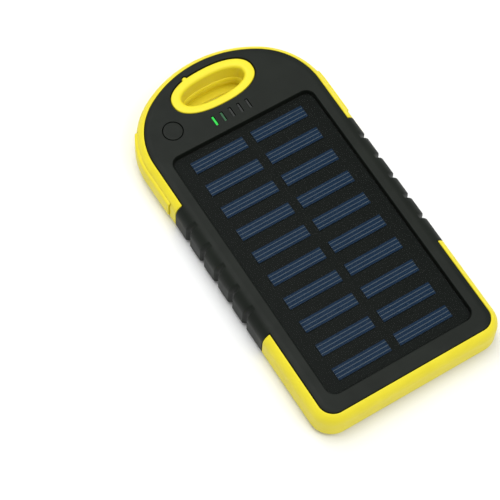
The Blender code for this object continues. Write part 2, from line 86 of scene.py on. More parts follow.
GAP = 0.3                               # clearance between separate pieces
HALF_WIDTH = REAR_HIGH[0]
SHELL_END = REAR_HIGH[1]
BAND = UPPER_HIGH[1] - SHELL_END        # how far bumpers and grips stand outside the shells
HEIGHT = FRONT_HIGH[2]
SPLIT_Z = REAR_HIGH[2] + GAP / 2
GRIP_TOP_Y = UPPER_LOW[1] - GAP
GRIP_BOTTOM_Y = LOWER_HIGH[1] + GAP
BAND_BOTTOM = LOWER_LOW[2]

# Case plan and section, as in the CAD.
CORNER_R = 5.2
ARCH_SIDE_R = 25.0
ARCH_SIDE_X = HALF_WIDTH - ARCH_SIDE_R
ARCH_SIDE_Y = 41.7
SHOULDER_R = 5.0
SKIRT_R = 2.2
SEAM_Z, SEAM_DEPTH = 1.5, 0.22          # moulding line round the bumpers
SEAM_HALF = 0.16
REAR_EDGE_R = 0.6

# Cutting blocks reach this far beyond the charger: sideways, and along it.
FAR_X, FAR_Y = 60, 200

# Grips: grooves part each into pads, deepest on the side and gone at the shoulder's top.
GROOVES = 5
GROOVE_FIRST_Y = 14.5
GROOVE_PITCH = 9.22
GROOVE_DEPTH, GROOVE_HALF = 1.3, 1.7
GROOVE_STEPS = 16

# Panel recess.
RECESS_GAP, RECESS_LOOP_GAP = 0.4, 0.8
RECESS_FLOOR_Z = BOARD_LOW[2] - GAP
PANEL_CORNER_R = 3.2
RECESS_LIP = 0.35                       # rounding of the recess's edge

# Loop ring.
LOOP_Y = (RING_LOW[1] + RING_HIGH[1]) / 2
LOOP_POWER = 2.3
RING_RIM = (RING_HIGH[0], RING_HIGH[1] - LOOP_Y)
RING_WALL = 2.0                         # rim beyond the tube
RING_HOLE = (12.45, 4.65)
RING_MOUTH = (10.4, 2.7)
MOUTH_SHIFT = -1.2                      # the mouth lies nearer the panel than the hole
RING_FLANGE = 1.5
RIM_LIP, HOLE_LIP, MOUTH_LIP, FOOT_LIP = 0.45, 1.3, 0.5, 0.4
LEDGE_FILLET = 0.3
BEAD_Z, BEAD_R, BEAD_DEPTH = 4.9, 1.9, 0.75   # a rounded swell in the hole's lower wall
NUB = (-7.3, LOOP_Y + 7.25)             # the moulding nub on the rim
NUB_R = 1.0

# Button.
BUTTON = centre_mm("power_button")[:2]
BUTTON_R, BUTTON_FLANGE_R, STEM_R = 3.5, 4.3, 1.5
BUTTON_FLANGE_Z = (10.9, 11.9)

# Lamps: the tip that shows is narrower than the foot under it, by this much on each side.
LAMPS = 5
LAMP_FOOT = (0.45, 0.4)
LAMP_ROOM = 0.2
SLOT_LIP = 0.12                         # rounding of the lamp slots' and button groove's edges

# Back.
SCREWS = 6
SCREW_SHANK_R, SCREW_HEAD_TOP = 1.0, 1.6
CROSS = (1.1, 0.22, 0.8)                # half length, half width and depth of a screw's recess
BACK_ROOM_TOP = 1.9                     # top of the openings for screw heads and torch
AXIS_R = 0.02                           # a turned piece starts this near its axis

# Ports and flaps.
USB_Y = centre_mm("usb_left_shell")[1]
MICRO_Y = centre_mm("micro_usb_shell")[1]
FLAP_Z = (FLAP_LOW[2], FLAP_HIGH[2])
FLAP_LOW_Y = FLAP_LOW[1]
FLAP_PROUD = FLAP_HIGH[0] - HALF_WIDTH - BAND
FLAP_EDGE_LOW, FLAP_EDGE_HIGH = 0.6, 1.1      # rounding of the flaps' outer edges
USB_PLUG = (6.2, 4.5, 9.2)              # half width, bottom and top
MICRO_PLUG = (3.5, 4.4, 6.8)
PLUG_GAP = 0.4
USB_MARGIN, MICRO_MARGIN = 0.45, 0.6    # how far a socket's opening stands beyond it, sideways
LEFT_FLAP_END = (55.3, 38.0)            # where the end face meets the shell, and its slope
RIGHT_FLAP_END = (45.0, 18.0)

# Printed lines on a cell: silver bars across its width (1 is the whole width), and fine fingers.
BARS, BAR_HALF = (0.2, 0.5, 0.8), 0.016
FINGER_PITCH, FINGER_SHARE = 0.55, 0.22

SMOOTH_ANGLE = radians(32)
FLAT = 0.99999                          # a face whose normal's z passes this is level


# ---------------------------------------------------------------- mesh helpers

def link(name, mesh):
    item = bpy.data.objects.new(name, mesh)
    bpy.context.scene.collection.objects.link(item)
    return item


def from_bmesh(name, bm):
    bmesh.ops.recalc_face_normals(bm, faces=bm.faces)
    mesh = bpy.data.meshes.new(name)
    bm.to_mesh(mesh)
    bm.free()
    return link(name, mesh)


def loft(name, rings, closed=False):
    """A skin over rings of equally many points: capped at both ends, or joined into a tube."""
    bm = bmesh.new()
    loops = [[bm.verts.new((x * MM, y * MM, z * MM)) for x, y, z in ring] for ring in rings]
    count = len(loops[0])
    pairs = list(zip(loops, loops[1:]))
    if closed:
        pairs.append((loops[-1], loops[0]))
    else:
        bm.faces.new(list(reversed(loops[0])))
        bm.faces.new(loops[-1])
    for lower, upper in pairs:
        for i in range(count):
            j = (i + 1) % count
            bm.faces.new((lower[i], lower[j], upper[j], upper[i]))
    return from_bmesh(name, bm)


def at_height(points, z):
    return [(x, y, z) for x, y in points]


def prism(name, points, z_low, z_high):
    return loft(name, [at_height(points, z_low), at_height(points, z_high)])


def box(name, low, high):
    corners = [(low[0], low[1]), (high[0], low[1]), (high[0], high[1]), (low[0], high[1])]
    return prism(name, corners, low[2], high[2])


def side_box(name, side, low, high):
    x_ends = sorted((side * low[0], side * high[0]))
    return box(name, (x_ends[0], *low[1:]), (x_ends[1], *high[1:]))


def circle(centre, radius, steps=64):
    turns = [2 * pi * i / steps for i in range(steps)]
    return [(centre[0] + radius * cos(t), centre[1] + radius * sin(t)) for t in turns]


def turned(name, centre, profile, steps=64):
    """A solid of revolution about an upright axis: (radius, z) from one end to the other."""
    return loft(name, [at_height(circle(centre, r, steps), z) for r, z in profile])


def fillet(radius, steps=8):
    """(inset, drop) pairs round a quarter circle, from the side up to the top."""
    turns = [pi / 2 * i / steps for i in range(steps + 1)]
    return [(radius * (1 - cos(t)), radius * (1 - sin(t))) for t in turns]


def flared(name, plan, z_low, z_top, lip):
    """A cutter whose mouth leaves a rounded edge. plan(grow) gives its outline."""
    rings = [at_height(plan(0.0), z_low)]
    rings += [at_height(plan(inset), z_top - drop + 0.02 * (1 - drop / lip))
              for inset, drop in fillet(lip, 6)]
    rings.append(at_height(plan(lip), z_top + 2))
    return loft(name, rings)


def cut(item, *others):
    for other in others:
        combine(item, other, "DIFFERENCE")
    return item


def combine(item, other, operation):
    step = item.modifiers.new("combine", "BOOLEAN")
    step.operation = operation
    step.solver = "EXACT"
    step.object = other
    return item


def applied(item, *tools):
    """The item with its modifiers made into mesh, and the tools that it used thrown away."""
    bpy.context.view_layer.update()
    solid = item.evaluated_get(bpy.context.evaluated_depsgraph_get())
    mesh = bpy.data.meshes.new_from_object(solid)
    item.modifiers.clear()
    item.data = mesh
    for tool in tools:
        bpy.data.objects.remove(tool, do_unlink=True)
    return item


def softened(item, width, segments=3, angle=40):
    """Round the sharp edges that are left."""
    step = item.modifiers.new("edges", "BEVEL")
    step.width = width * MM
    step.segments = segments
    step.limit_method = "ANGLE"
    step.angle_limit = radians(angle)
    step.use_clamp_overlap = False
    return applied(item)


def shaded(item, angle=SMOOTH_ANGLE):
    """Smooth shading that keeps real edges crisp and flat faces flat."""
    mesh = item.data
    mesh.polygons.foreach_set("use_smooth", [True] * len(mesh.polygons))
    mesh.set_sharp_from_angle(angle=angle)
    for face in mesh.polygons:
        if abs(face.normal.z) > FLAT:
            face.use_smooth = False
    step = item.modifiers.new("normals", "WEIGHTED_NORMAL")
    step.keep_sharp = True
    step.weight = 80
    return item


def place(item, paint, slot, body, *replaced):
    """Give a finished piece its material, and tie it to the CAD."""
    item.data.materials.clear()
    item.data.materials.append(paint)
    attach(item, body)
    if replaced:
        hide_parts(*replaced)
    return item


# ---------------------------------------------------------------- outlines

def arc(centre, radius, start, end, steps, between=False):
    """Points along an arc, its ends included, or only the points half way between those."""
    places = [i + 0.5 for i in range(steps)] if between else range(steps + 1)
    turns = [radians(start + (end - start) * i / steps) for i in places]
    return [(centre[0] + radius * cos(t), centre[1] + radius * sin(t)) for t in turns]


def mirrored(points):
    return [(-x, y) for x, y in reversed(points)]


def outline(grow=0.0, between=False):
    """The shells' plan, grown outwards: round lower corners and an arch of three arcs.

    A cutter takes the points in between, so that its corners never meet the skin's own.
    """
    reach = SHELL_END - ARCH_SIDE_R
    top_y = (reach**2 - ARCH_SIDE_X**2 - ARCH_SIDE_Y**2) / (2 * (reach - ARCH_SIDE_Y))
    turn = degrees(atan2(ARCH_SIDE_Y - top_y, ARCH_SIDE_X))
    corner = (HALF_WIDTH - CORNER_R, CORNER_R - SHELL_END)
    right = arc(corner, CORNER_R + grow, -90, 0, 16, between)
    right += arc((ARCH_SIDE_X, ARCH_SIDE_Y), ARCH_SIDE_R + grow, 0, turn, 36, between)
    top = arc((0, top_y), SHELL_END - top_y + grow, turn, 90, 20, between)
    if between:
        return right + top + mirrored(right + top)
    right += top[1:]
    return right + mirrored(right[:-1])


def oval(size, grow=0.0, steps=120):
    points = []
    for i in range(steps):
        t = 2 * pi * i / steps
        along = abs(cos(t)) ** (2 / LOOP_POWER) * (1 if cos(t) >= 0 else -1)
        across = abs(sin(t)) ** (2 / LOOP_POWER) * (1 if sin(t) >= 0 else -1)
        points.append(((size[0] + grow) * along, LOOP_Y + (size[1] + grow) * across))
    return points


def rounded_rectangle(low, high, radius, steps=12):
    right = arc((high[0] - radius, low[1] + radius), radius, -90, 0, steps)
    right += arc((high[0] - radius, high[1] - radius), radius, 0, 90, steps)
    left = arc((low[0] + radius, high[1] - radius), radius, 90, 180, steps)
    left += arc((low[0] + radius, low[1] + radius), radius, 180, 270, steps)
    return right + left


def hull(name, seam=False):
    """The whole charger's outer skin, with a moulding line near its lower edge if asked for."""
    rings = [at_height(outline(BAND - inset), BAND_BOTTOM + drop)
             for inset, drop in reversed(fillet(SKIRT_R, 8))]
    if seam:
        side = BAND - SKIRT_R * (1 - (1 - ((SEAM_Z - BAND_BOTTOM - SKIRT_R) / SKIRT_R) ** 2) ** 0.5)
        rings = [ring for ring in rings if abs(ring[0][2] - SEAM_Z) > 0.25]
        notch = [at_height(outline(side - inset), SEAM_Z + shift)
                 for inset, shift in ((0.03, -SEAM_HALF), (SEAM_DEPTH, 0.0), (0.0, SEAM_HALF))]
        rings = sorted(rings + notch, key=lambda ring: ring[0][2])
    rings += [at_height(outline(BAND - inset), HEIGHT - drop)
              for inset, drop in fillet(SHOULDER_R, 14)]
    return loft(name, rings)


def past(name, y, towards):
    """Everything past a line across the case."""
    ends = sorted((y, y + towards * FAR_Y))
    return box(name, (-FAR_X, ends[0], -5), (FAR_X, ends[1], HEIGHT + 5))


def shell_core(name, grow=0.0):
    """The shells' plan as a cutter, taller than the charger."""
    return prism(name, outline(grow, between=True), -8, HEIGHT + 8)


def beyond(name, y, towards):
    """Everything past a line across the case, outside the shells' plan."""
    core = shell_core("core")
    return applied(cut(past(name, y, towards), core), core)


# ---------------------------------------------------------------- shells

def port_rooms():
    """The openings in the shells round the sockets, deep enough for the sockets themselves."""
    rooms = []
    for name, side, margin in (("usb_left_shell", -1, USB_MARGIN), ("usb_right_shell", 1, USB_MARGIN),
                               ("micro_usb_shell", -1, MICRO_MARGIN)):
        low, high = box_mm(name)
        inner = min(abs(low[0]), abs(high[0])) - GAP
        rooms.append(side_box(f"{name}_room", side, (inner, low[1] - margin, low[2] - GAP),
                              (HALF_WIDTH + 5, high[1] + margin, high[2] + 0.25)))
    return rooms


def side_section():
    """(x, z, outward normal, groove strength) up a grip's section, on the +X side."""
    outside = HALF_WIDTH + BAND
    section = [(HALF_WIDTH - 0.4, BAND_BOTTOM, 0.0, -1.0, 1.0)]
    for turn in range(-88, 1, 11):
        c, s = cos(radians(turn)), sin(radians(turn))
        section.append((outside - SKIRT_R * (1 - c), BAND_BOTTOM + SKIRT_R * (1 + s), c, s, 1.0))
    for turn in range(1, 76, 5):
        c, s = cos(radians(turn)), sin(radians(turn))
        fade = 1 - (turn / 80) ** 2
        section.append((outside - SHOULDER_R * (1 - c), HEIGHT - SHOULDER_R * (1 - s), c, s, fade))
    return section


def grooves():
    """Cutters that follow a grip's section and part it into pads, fading out on its shoulder."""
    return [loft(f"groove_{side}_{i}", groove_rings(side, GROOVE_FIRST_Y - GROOVE_PITCH * i))
            for side in (-1, 1) for i in range(GROOVES)]


def groove_rings(side, centre_y):
    """A groove's cutter in slices along Y: a cosine dip below the grip, and a block outside it."""
    clear, reach = 0.08, 3.0
    rings = []
    for k in range(GROOVE_STEPS + 1):
        along = -1 + 2 * k / GROOVE_STEPS
        y = centre_y + GROOVE_HALF * along
        depth = (GROOVE_DEPTH + clear) * (1 + cos(pi * along)) / 2
        inner = [(side * (x + c * (clear - depth * fade)), y, z + s * (clear - depth * fade))
                 for x, z, c, s, fade in side_section()]
        outer = [(side * (x + c * reach), y, z + s * reach)
                 for x, z, c, s, fade in reversed(side_section())]
        rings.append(inner + outer)
    return rings


def panel_plan(grow=0.0):
    low = (PANEL_LOW[0] - RECESS_GAP - grow, PANEL_LOW[1] - RECESS_GAP - grow)
    high = (PANEL_HIGH[0] + RECESS_GAP + grow, PANEL_HIGH[1] + RECESS_LOOP_GAP + grow)
    return rounded_rectangle(low, high, PANEL_CORNER_R + RECESS_GAP + grow)


def lamp_plan(low, high, grow):
    room = LAMP_ROOM + grow
    return rounded_rectangle((low[0] - room, low[1] - room), (high[0] + room, high[1] + room),
                             0.3 + grow, 4)


def front_cover():
    cover = hull("front_cover")
    tools = [beyond("upper_room", GRIP_TOP_Y, 1), beyond("lower_room", GRIP_BOTTOM_Y, -1),
             prism("rear_room", outline(GAP, between=True), -2, SPLIT_Z + GAP / 2)]
    tools += grooves()
    tools.append(flared("panel_recess", panel_plan, RECESS_FLOOR_Z, HEIGHT, RECESS_LIP))
    tools += port_rooms()
    tools.append(flared("button_bore", lambda grow: circle(BUTTON, BUTTON_R + GAP + grow),
                        SPLIT_Z - 1, HEIGHT, SLOT_LIP))
    for i in range(LAMPS):
        low, high = lamp_tip(i)
        tools.append(flared(f"lamp_slot_{i}", lambda grow, a=low, b=high: lamp_plan(a, b, grow),
                            SPLIT_Z - 1, HEIGHT, SLOT_LIP))
    tools.append(flared("ring_seat", lambda grow: oval(RING_RIM, GAP + grow),
                        RING_HIGH[2] - RING_FLANGE - GAP, HEIGHT, 0.3))
    tools.append(turned("nub_room", NUB, [(NUB_R + 0.2, 12), (NUB_R + 0.2, HEIGHT + 1)], 32))
    tools.append(prism("loop_bore", oval(RING_RIM, GAP - RING_WALL), -1, HEIGHT + 1))
    applied(cut(cover, *tools), *tools)
    return place(shaded(cover), BLACK, "black_plastic", "case", "front_shell")


def rear_cover():
    rings = [at_height(outline(-inset), drop) for inset, drop in reversed(fillet(REAR_EDGE_R, 5))]
    rings.append(at_height(outline(0.0), REAR_HIGH[2]))
    cover = loft("rear_cover", rings)
    tools = port_rooms()
    tools.append(prism("loop_bore", oval(RING_RIM, GAP - RING_WALL), -1, HEIGHT))
    tools.append(prism("ring_foot_room", oval(RING_RIM, GAP), -1, RING_LOW[2] + RING_FLANGE + GAP))
    torch = centre_mm("torch_lens")[:2]
    lens_r = box_mm("torch_lens")[1][0] - torch[0]
    tools.append(turned("torch_window", torch, [(lens_r + GAP, -1), (lens_r + GAP, BACK_ROOM_TOP)]))
    tools.append(turned("torch_ring", torch, [(lens_r + 1.6, -1), (lens_r + 1.2, 0.25)]))
    for i in range(SCREWS):
        centre = centre_mm(f"case_screw_{i + 1}")[:2]
        profile = [(2.6, -1), (2.3, 0.3), (2.3, BACK_ROOM_TOP)]
        tools.append(turned(f"head_room_{i}", centre, profile, 40))
    applied(cut(cover, *tools), *tools)
    return place(shaded(cover), BACK, "black_plastic", "case", "rear_shell")


# ---------------------------------------------------------------- bumpers, ring and flaps

def flap_zone(name, side, end, grow):
    """The block that a flap fills: square to the side at its lower end, sloped at its far end."""
    end_y, slope = end
    x_inside, x_outside = HALF_WIDTH - 7, HALF_WIDTH + 12
    rise = tan(radians(slope))
    meet_x = HALF_WIDTH
    if end_y > ARCH_SIDE_Y:
        meet_x = ARCH_SIDE_X + (ARCH_SIDE_R**2 - (end_y - ARCH_SIDE_Y)**2) ** 0.5
    shift = grow / cos(radians(slope))
    corners = [(x_inside, FLAP_LOW_Y - grow), (x_outside, FLAP_LOW_Y - grow)]
    corners += [(x, end_y + shift + (x - meet_x) * rise) for x in (x_outside, x_inside)]
    if side < 0:
        corners = mirrored(corners)
    return prism(name, corners, FLAP_Z[0] - grow, FLAP_Z[1] + grow)


def bumper(name, y, towards, replaced, windows=()):
    guard = hull(name, seam=True)
    zone = past("bumper_zone", y, towards)
    core = shell_core("core_room", GAP)
    combine(guard, zone, "INTERSECT")
    applied(cut(guard, core, *windows), zone, core, *windows)
    return place(shaded(softened(guard, 0.25)), YELLOW, "yellow_rubber", "case", replaced)


def bumpers():
    windows = [flap_zone("window_left", -1, LEFT_FLAP_END, GAP),
               flap_zone("window_right", 1, RIGHT_FLAP_END, GAP)]
    bumper("upper_guard", GRIP_TOP_Y + GAP, 1, "upper_bumper", windows)
    bumper("lower_guard", GRIP_BOTTOM_Y - GAP, -1, "lower_bumper")


def port_flap(name, side, end, body, replaced, plugs):
    """A cover for the sockets on one side, with plugs that reach into their openings."""
    grown = BAND + FLAP_PROUD
    rings = [at_height(outline(grown - inset), FLAP_Z[0] + drop)
             for inset, drop in reversed(fillet(FLAP_EDGE_LOW, 5))]
    rings += [at_height(outline(grown - inset), FLAP_Z[1] - drop)
              for inset, drop in fillet(FLAP_EDGE_HIGH, 7)]
    flap = loft(name, rings)
    zone = flap_zone("flap_zone", side, end, 0.0)
    core = shell_core("flap_core", GAP)
    combine(flap, zone, "INTERSECT")
    applied(cut(flap, core), zone, core)
    softened(flap, 0.3)
    tools = []
    for tip, y, (half, z_low, z_high) in plugs:
        plug = side_box("plug", side, (tip, y - half, z_low), (HALF_WIDTH + 1, y + half, z_high))
        tools.append(softened(plug, 0.5))
        combine(flap, plug, "UNION")
    return place(shaded(applied(flap, *tools)), YELLOW, "yellow_rubber", body, replaced)


def flaps():
    mouth = box_mm("usb_right_shell")[1][0]
    micro_mouth = -box_mm("micro_usb_shell")[0][0]
    usb_plug = (mouth + PLUG_GAP, USB_Y, USB_PLUG)
    micro_plug = (micro_mouth + PLUG_GAP, MICRO_Y, MICRO_PLUG)
    port_flap("left_cover", -1, LEFT_FLAP_END, "left_flap", "port_flap_left", (usb_plug, micro_plug))
    port_flap("right_cover", 1, RIGHT_FLAP_END, "right_flap", "port_flap_right", (usb_plug,))


def spool_ring(inset_x, inset_y, z, shift=0.0):
    """The rim's oval drawn in by two insets, at a height, moved along Y."""
    points = oval((RING_RIM[0] - inset_x, RING_RIM[1] - inset_y))
    return at_height([(x, y + shift) for x, y in points], z)


def hole_wall(top, ledge):
    """The hole from its rounded upper edge down past the bead to the ledge."""
    inset_x, inset_y = RING_RIM[0] - RING_HOLE[0], RING_RIM[1] - RING_HOLE[1]
    rings = [spool_ring(inset_x - inset, inset_y - inset, top - drop)
             for inset, drop in reversed(fillet(HOLE_LIP, 8))]
    steps = 12
    for step in range(steps + 1):
        turn = pi * step / steps
        swell = BEAD_DEPTH * sin(turn)
        rings.append(spool_ring(inset_x + swell, inset_y + swell, BEAD_Z + BEAD_R * cos(turn)))
    rings.append(spool_ring(inset_x, inset_y, ledge + LEDGE_FILLET))
    rings.append(spool_ring(inset_x + LEDGE_FILLET, inset_y + LEDGE_FILLET, ledge))
    return rings


def mouth_wall(bottom, ledge):
    """The narrower mouth through the foot, rounded at both ends."""
    inset_x, inset_y = RING_RIM[0] - RING_MOUTH[0], RING_RIM[1] - RING_MOUTH[1]
    rings = [spool_ring(inset_x - inset, inset_y - inset, ledge - drop, MOUTH_SHIFT)
             for inset, drop in reversed(fillet(MOUTH_LIP, 5))]
    rings += [spool_ring(inset_x - inset, inset_y - inset, bottom + drop, MOUTH_SHIFT)
              for inset, drop in fillet(MOUTH_LIP, 5)]
    return rings


def loop_ring():
    """The spool that lines the loop hole, its section followed once round from the rim."""
    top, bottom = RING_HIGH[2], RING_LOW[2]
    ledge, rim_low = bottom + RING_FLANGE, top - RING_FLANGE
    rings = [spool_ring(inset, inset, top - 0.05 - drop) for inset, drop in fillet(RIM_LIP, 5)]
    rings.append(spool_ring(1.4, 1.3, top))
    rings += hole_wall(top, ledge) + mouth_wall(bottom, ledge)
    rings += [spool_ring(inset, inset, bottom + drop) for inset, drop in reversed(fillet(FOOT_LIP, 4))]
    waist = (RING_WALL, RING_WALL - 0.8)
    rings += [spool_ring(0, 0, ledge), spool_ring(*waist, ledge),
              spool_ring(*waist, rim_low), spool_ring(0, 0, rim_low)]
    item = loft("loop_spool", rings, closed=True)
    nub = turned("nub", NUB, [(NUB_R, top - 0.9), (NUB_R, top - 0.35), (NUB_R - 0.35, top - 0.05)], 32)
    combine(item, nub, "UNION")
    return place(shaded(applied(item, nub)), YELLOW, "yellow_rubber", "case", "loop_ring")


# ---------------------------------------------------------------- panel, button and lamps

def plate(name, low, high, chamfer, paint, slot, replaced):
    def plan(inset):
        return rounded_rectangle((low[0] + inset, low[1] + inset), (high[0] - inset, high[1] - inset),
                                 PANEL_CORNER_R - inset)
    rings = [at_height(plan(0.0), low[2]), at_height(plan(0.0), high[2] - chamfer),
             at_height(plan(chamfer), high[2])]
    return place(shaded(loft(name, rings), radians(20)), paint, slot, "case", replaced)


def panel():
    plate("panel_base", BOARD_LOW, BOARD_HIGH, 0.05, LAMINATE, "panel_laminate", "panel_board")
    plate("panel_glaze", PANEL_LOW, PANEL_HIGH, 0.08, GLAZE, "clear_resin", "panel_cover")
    for item in nodes.values():
        if item.name.startswith("solar_cell"):
            paint_node(item, CELL)


def button():
    """The cap, dished a little on top, with its flange and stem."""
    top, bottom = BUTTON_HIGH[2], BUTTON_LOW[2]
    flange_low, flange_top = BUTTON_FLANGE_Z
    profile = [(AXIS_R, bottom), (STEM_R, bottom), (STEM_R, flange_low), (BUTTON_FLANGE_R, flange_low),
               (BUTTON_FLANGE_R, flange_top), (BUTTON_R, flange_top)]
    profile += [(BUTTON_R - inset, top - drop) for inset, drop in fillet(0.2, 5)]
    profile += [(2.2, top - 0.03), (1.1, top - 0.06), (AXIS_R, top - 0.07)]
    place(shaded(turned("button_cap", BUTTON, profile)), BLACK, "black_plastic", "power_button",
          "power_button")


def lamp_tip(i):
    """The visible tip of a lamp: its node's box less the foot that stands wider."""
    low, high = box_mm(f"charge_lamp_{i + 1}")
    x, y = LAMP_FOOT
    return (low[0] + x, low[1] + y), (high[0] - x, high[1] - y)


def lamps():
    # Only the first lamp is lit. The second lamp's faint green glow is painted stray light from the lit
    # lamp beside it, not a lamp of its own.
    for i, paint in enumerate((LAMP_BRIGHT, LAMP_STRAY_GLOW, LAMP_DARK, LAMP_DARK, LAMP_DARK)):
        paint_node(nodes[f"charge_lamp_{i + 1}"], paint)


# ---------------------------------------------------------------- back and sockets

def screws():
    """Countersunk screws with a cross recess, seen from the back."""
    for i in range(SCREWS):
        node = f"case_screw_{i + 1}"
        low, high = box_mm(node)
        x, y = centre_mm(node)[:2]
        head_r = high[0] - x
        profile = [(AXIS_R, low[2])]
        profile += [(head_r - inset, low[2] + drop) for inset, drop in reversed(fillet(0.4, 5))]
        profile += [(head_r, SCREW_HEAD_TOP), (SCREW_SHANK_R, SCREW_HEAD_TOP),
                    (SCREW_SHANK_R, high[2] - 0.8), (AXIS_R, high[2])]
        item = turned(f"screw_{i + 1}", (x, y), profile, 40)
        long, narrow, deep = CROSS
        cross = [box("slot_a", (x - long, y - narrow, -1), (x + long, y + narrow, low[2] + deep)),
                 box("slot_b", (x - narrow, y - long, -1), (x + narrow, y + long, low[2] + deep))]
        place(shaded(applied(cut(item, *cross), *cross)), STEEL, "steel", "case", node)


def torch():
    """The torch's window in the back, slightly dished."""
    low, high = box_mm("torch_lens")
    centre = centre_mm("torch_lens")[:2]
    radius = high[0] - centre[0]
    profile = [(AXIS_R, low[2] + 0.02), (radius * 0.5, low[2]), (radius - 0.5, low[2] + 0.05),
               (radius, low[2] + 0.4), (radius, high[2]), (AXIS_R, high[2])]
    place(shaded(turned("torch_window_lens", centre, profile)), LENS, "clear_resin", "case", "torch_lens")


def paint_node(item, paint):
    item.data.materials.clear()
    item.data.materials.append(paint)


# ---------------------------------------------------------------- materials

class Paint:
    """A Principled material with object-space noise for its colour, roughness and bump."""

    def __init__(self, name, **sockets):
        self.material = bpy.data.materials.new(name)
        self.material.use_nodes = True
        self.tree = self.material.node_tree
        self.shader = self.tree.nodes["Principled BSDF"]
        for socket, value in sockets.items():
            self.shader.inputs[socket.replace("_", " ")].default_value = value
        self.place = self.tree.nodes.new("ShaderNodeTexCoord").outputs["Object"]

    def node(self, kind, **values):
        item = self.tree.nodes.new(kind)
        for name, value in values.items():
            setattr(item, name, value)
        return item

    def noise(self, grain, detail=3.0, roughness=0.5, stretch=None):
        """Noise whose features are about this many millimetres across."""
        item = self.node("ShaderNodeTexNoise")
        item.inputs["Scale"].default_value = 1 / (grain * MM)
        item.inputs["Detail"].default_value = detail
        item.inputs["Roughness"].default_value = roughness
        source = self.place
        if stretch:
            mapping = self.node("ShaderNodeMapping")
            mapping.inputs["Scale"].default_value = stretch
            self.tree.links.new(source, mapping.inputs["Vector"])
            source = mapping.outputs["Vector"]
        self.tree.links.new(source, item.inputs["Vector"])
        return item.outputs["Fac"]

    def ramp(self, source, *stops):
        item = self.node("ShaderNodeValToRGB")
        elements = item.color_ramp.elements
        while len(elements) < len(stops):
            elements.new(0.5)
        for element, (position, colour) in zip(elements, stops):
            element.position = position
            element.color = (*colour, 1.0)
        self.tree.links.new(source, item.inputs["Fac"])
        return item.outputs["Color"]

    def remap(self, source, low, high):
        """Noise, which mostly lies between 0.3 and 0.7, spread over a range of values."""
        item = self.node("ShaderNodeMapRange")
        for name, value in (("From Min", 0.3), ("From Max", 0.7), ("To Min", low), ("To Max", high)):
            item.inputs[name].default_value = value
        self.tree.links.new(source, item.inputs["Value"])
        return item.outputs["Result"]

    def mix(self, factor, a, b):
        item = self.node("ShaderNodeMix", data_type="RGBA")
        for name, value in (("Factor", factor), ("A", a), ("B", b)):
            self.feed(item.inputs[name], value)
        return item.outputs["Result"]

    def feed(self, socket, value):
        if isinstance(value, bpy.types.NodeSocket):
            self.tree.links.new(value, socket)
        elif isinstance(value, tuple):
            socket.default_value = (*value, 1.0)
        else:
            socket.default_value = value

    def math(self, operation, a, b=0.0):
        item = self.node("ShaderNodeMath", operation=operation)
        self.feed(item.inputs[0], a)
        self.feed(item.inputs[1], b)
        return item.outputs["Value"]

    def bump(self, height, depth, strength):
        item = self.node("ShaderNodeBump")
        item.inputs["Strength"].default_value = strength
        item.inputs["Distance"].default_value = depth * MM
        self.tree.links.new(height, item.inputs["Height"])
        self.tree.links.new(item.outputs["Normal"], self.shader.inputs["Normal"])

    def set(self, socket, source):
        self.tree.links.new(source, self.shader.inputs[socket])


def moulded_black(name, low, high, rough, grain=0.18):
    """Soft-touch black plastic: fine spark texture, faint cloudiness."""
    paint = Paint(name, Specular_IOR_Level=0.15)
    cloud = paint.noise(14, 2)
    paint.set("Base Color", paint.ramp(cloud, (0.35, low), (0.65, high)))
    paint.set("Roughness", paint.remap(paint.noise(5, 4), rough - 0.04, rough + 0.06))
    paint.bump(paint.noise(grain, 2, 0.6), 0.012, 0.5)
    return paint.material


def rubber():
    """Yellow moulded rubber, a little deeper in colour where the cloudiness gathers."""
    paint = Paint("yellow_bumper_rubber", Specular_IOR_Level=0.3, Subsurface_Weight=0.06,
                  Subsurface_Scale=0.001, Subsurface_Radius=(1.0, 0.85, 0.15))
    cloud = paint.noise(9, 3)
    paint.set("Base Color", paint.ramp(cloud, (0.3, (0.79, 0.67, 0.022)), (0.7, (0.84, 0.725, 0.03))))
    paint.set("Roughness", paint.remap(paint.noise(3, 3), 0.42, 0.52))
    paint.bump(paint.noise(0.25, 2, 0.6), 0.01, 0.4)
    return paint.material


def laminate():
    """The panel's dark backing, finely speckled."""
    paint = Paint("panel_backing", Specular_IOR_Level=0.06)
    speck = paint.noise(0.35, 2, 0.6)
    dark, light = (0.002, 0.0034, 0.0026), (0.0065, 0.009, 0.0072)
    paint.set("Base Color", paint.ramp(speck, (0.35, dark), (0.7, light)))
    paint.set("Roughness", paint.remap(speck, 0.42, 0.6))
    paint.bump(speck, 0.001, 0.1)
    return paint.material


